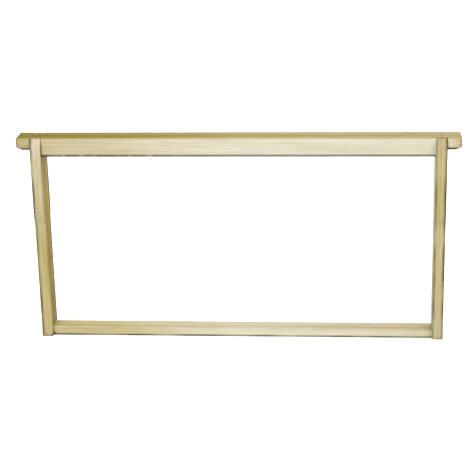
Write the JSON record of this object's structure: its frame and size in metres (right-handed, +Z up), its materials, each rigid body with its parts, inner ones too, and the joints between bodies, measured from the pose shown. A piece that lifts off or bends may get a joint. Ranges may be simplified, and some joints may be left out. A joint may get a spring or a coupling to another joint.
{
  "type": "beehive frame",
  "caption": "Deep self-spacing wooden frame of a Langstroth hive box: top bar with hanging lugs, forked end bars and bottom bar, nailed together.",
  "frame": {"origin": "centre of the whole frame in plan, at the level of the end bars' feet", "axes": "+X along the top bar, +Y from the front face to the back face, +Z up, from the bottom bar to the top bar"},
  "size_m": [0.4826, 0.035, 0.232],
  "materials": {
    "top_bar_wood": "planed, unfinished pale pine",
    "left_end_bar_wood": "sawn and planed, unfinished pine",
    "right_end_bar_wood": "sawn and planed, unfinished pine, a little darker",
    "bottom_bar_wood": "planed, unfinished pale pine",
    "nail_steel": "bright drawn wire nail"
  },
  "bodies": {
    "root": {"top_bar": "top_bar_wood", "bottom_bar": "bottom_bar_wood", "end_bar_left": "left_end_bar_wood", "end_bar_right": "right_end_bar_wood", "top_nail_left_front": "nail_steel", "top_nail_left_back": "nail_steel", "top_nail_right_front": "nail_steel", "top_nail_right_back": "nail_steel", "bottom_nail_left_front": "nail_steel", "bottom_nail_left_back": "nail_steel", "bottom_nail_right_front": "nail_steel", "bottom_nail_right_back": "nail_steel", "side_nail_left": "nail_steel", "side_nail_right": "nail_steel"}
  },
  "joints": []
}
